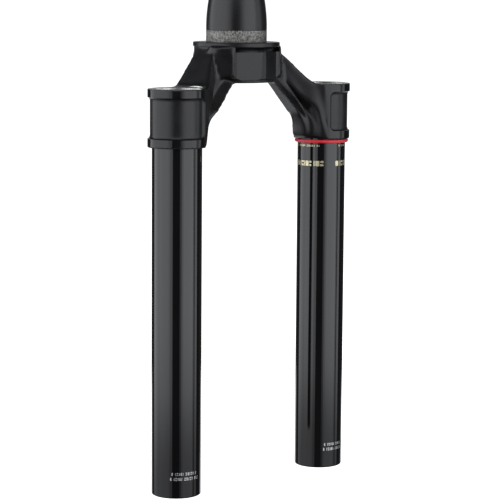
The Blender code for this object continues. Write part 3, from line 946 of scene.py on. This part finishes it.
# %% Spin one upper tube and copy it to the other side
TUBE_BORE = TUBE_R - 1.7 * MM
THREAD_PITCH, THREAD_DEPTH, THREADS = 1.0 * MM, 0.5 * MM, 13
THREAD_TOP = TUBE_TOP - 0.6 * MM
CLIP_LOW, CLIP_WIDE, CLIP_DEEP = 6 * MM, 1.4 * MM, 0.6 * MM
ROLLED, BORE_EDGE = 1.1 * MM, 0.25 * MM
rolled_edge = [
    (TUBE_R - ROLLED * (1 - math.cos(a)), TUBE_END + ROLLED * (1 - math.sin(a)))
    for a in [math.radians(10 * k) for k in range(9)]
]
thread = []
for k in range(THREADS):
    low = THREAD_TOP - (THREADS - k) * THREAD_PITCH
    thread.append((TUBE_BORE, low))
    thread.append((TUBE_BORE + THREAD_DEPTH, low + THREAD_PITCH / 2))
air_tube = lathe("air_side_upper_tube_polished", [
    (TUBE_R - 0.5 * MM, TUBE_TOP),
    (TUBE_R, TUBE_TOP - 0.5 * MM),
    *[(TUBE_R, z * MM) for z in (-100, -160, -220)],
    *rolled_edge,
    (TUBE_R - ROLLED, TUBE_END),
    (TUBE_BORE + BORE_EDGE, TUBE_END),
    (TUBE_BORE, TUBE_END + BORE_EDGE),
    (TUBE_BORE, TUBE_END + CLIP_LOW),
    (TUBE_BORE + CLIP_DEEP, TUBE_END + CLIP_LOW),
    (TUBE_BORE + CLIP_DEEP, TUBE_END + CLIP_LOW + CLIP_WIDE),
    (TUBE_BORE, TUBE_END + CLIP_LOW + CLIP_WIDE),
    *thread,
    (TUBE_BORE, THREAD_TOP),
    (TUBE_BORE + THREAD_DEPTH + 0.4 * MM, TUBE_TOP),
], TUBE_X, TUBE_Y)
air_tube.data.materials.append(tube_black)
air_tube.data.materials.append(bore_bright)
for face in air_tube.data.polygons:
    out = Vector((face.center.x - TUBE_X, face.center.y - TUBE_Y, 0))
    face.material_index = 1 if out.length < TUBE_R - 0.9 * MM else 0

select_only(air_tube)
bpy.ops.object.duplicate(linked=False)
damper_tube = bpy.context.object
damper_tube.name = "damper_side_upper_tube_polished"
edit(damper_tube)
bpy.ops.transform.translate(value=(-2 * TUBE_X, 0, 0))
done()
show(air_tube, UNIT, "tube_anodised", "air_side_upper_tube")
show(damper_tube, UNIT, "tube_anodised", "damper_side_upper_tube")

# %% [markdown]
# ## The sag ring
# This is the rubber ring that riders push up against the seal before a ride. Its section is nearly
# round outside and flat where it grips the tube, with the faint line of the two-part mould.

# %% Spin the sag ring
ring_mid = (ring_low.z + ring_high.z) / 2
half_tall = (ring_high.z - ring_low.z) / 2 - 0.01 * MM
ring_in = TUBE_R + 0.06 * MM
ring_out = (ring_high.x - ring_low.x) / 2 - 0.03 * MM
# radius, height as a share of the half height
section = [
    (ring_in, -0.55), (ring_in + 0.25 * MM, -0.9), (ring_in + 0.7 * MM, -1.0),
    (ring_out - 0.55 * MM, -0.93), (ring_out - 0.2 * MM, -0.66), (ring_out - 0.05 * MM, -0.34),
    (ring_out - 0.02 * MM, -0.07), (ring_out + 0.03 * MM, 0), (ring_out - 0.02 * MM, 0.07),
    (ring_out - 0.05 * MM, 0.34), (ring_out - 0.2 * MM, 0.66), (ring_out - 0.55 * MM, 0.93),
    (ring_in + 0.7 * MM, 1.0), (ring_in + 0.25 * MM, 0.9), (ring_in, 0.55),
]
sag_ring = lathe("sag_ring_rubber", [(r, ring_mid + half_tall * h) for r, h in section],
                 TUBE_X, TUBE_Y)
sag_ring.data.materials.append(ring_red)
show(sag_ring, RING, "ring_rubber", "sag_ring", angle=50)

# %% [markdown]
# ## Printed marks
# The tubes carry rows of metallic print. Here they are plain bars and ticks that say nothing. Each
# bar is a small grid wrapped on the tube and thickened to a film that can just be felt.

# %% Print the marks
FILM = 0.02 * MM
FACING = math.pi + HEADING
GRID_STEP, BAR_GAP, GROUP_GAP, GROUP = 0.5, 0.55, 1.5, 5
SPLIT_SHARE = 0.36


def bar(side, turn, wide, low, high):
    """One bar on a tube's surface, at this turn in degrees from the camera's side. Its width
    and its two heights are in millimetres."""
    bpy.ops.object.select_all(action="DESELECT")
    bpy.ops.mesh.primitive_grid_add(x_subdivisions=max(2, round(wide / GRID_STEP)),
                                    y_subdivisions=1, size=2)
    item = bpy.context.object
    half = wide * MM / TUBE_R / 2
    for vertex in item.data.vertices:
        angle = FACING - math.radians(turn) + vertex.co.x * half
        z = (high + low) / 2 + vertex.co.y * (high - low) / 2
        vertex.co = (side * TUBE_X + (TUBE_R + FILM) * math.sin(angle),
                     TUBE_Y + (TUBE_R + FILM) * math.cos(angle), z * MM)
    return item


def bars_row(name, side, start, end, low, high, pattern, material):
    """Bars of the pattern's widths one after another, between two turns. A width below zero is
    a bar split into a lower and an upper one."""
    items, turn, k = [], start, 0
    while turn < end:
        wide = abs(pattern[k % len(pattern)])
        span = math.degrees(wide * MM / TUBE_R)
        middle = turn + span / 2
        if pattern[k % len(pattern)] > 0:
            items.append(bar(side, middle, wide, low, high))
        else:
            tall = (high - low) * SPLIT_SHARE
            items.append(bar(side, middle, wide, low, low + tall))
            items.append(bar(side, middle, wide, high - tall, high))
        gap = BAR_GAP if k % GROUP else GROUP_GAP
        turn += span + math.degrees(gap * MM / TUBE_R)
        k += 1
    select_only(items[0])
    for item in items:
        item.select_set(True)
    bpy.ops.object.join()
    row = bpy.context.object
    row.name = name
    film = row.modifiers.new("film", "SOLIDIFY")
    film.thickness = 1.6 * FILM
    apply_all(row)
    edit(row)
    bpy.ops.mesh.normals_make_consistent(inside=False)
    done()
    row.data.materials.append(material)
    return row


# widths of the bars in millimetres
LARGE = (2.4, 0.8, -2.0, 0.8, 2.2, -1.6, 0.8, 2.6, -2.2, 1.0)
SMALL = (0.9, 0.4, -1.0, 0.5, 0.8, 0.4, -0.9)
# name, side, first and last turn, lower and upper edge, widths, ink
for name, side, start, end, low, high, pattern, material in [
    ("mark_row_small_a", 1, -72, -6, -69.9, -68.7, SMALL, ink_gold),
    ("mark_row_small_b", 1, 44, 72, -69.9, -68.7, SMALL, ink_gold),
    ("mark_row_large_a", 1, -74, 4, -82.8, -79.4, LARGE, ink_gold),
    ("mark_row_large_b", 1, 35, 68, -82.8, -79.4, LARGE, ink_gold),
    ("mark_row_air_foot_a", 1, 13, 78, -273.2, -271.4, SMALL, ink_silver),
    ("mark_row_air_foot_b", 1, 11, 80, -276.5, -274.6, SMALL, ink_silver),
    ("mark_row_damper_foot_a", -1, -9, 54, -273.2, -271.4, SMALL, ink_silver),
    ("mark_row_damper_foot_b", -1, -12, 56, -276.5, -274.6, SMALL, ink_silver),
]:
    row = bars_row(name, side, start, end, low, high, pattern, material)
    show(row, UNIT, "printed_marks")
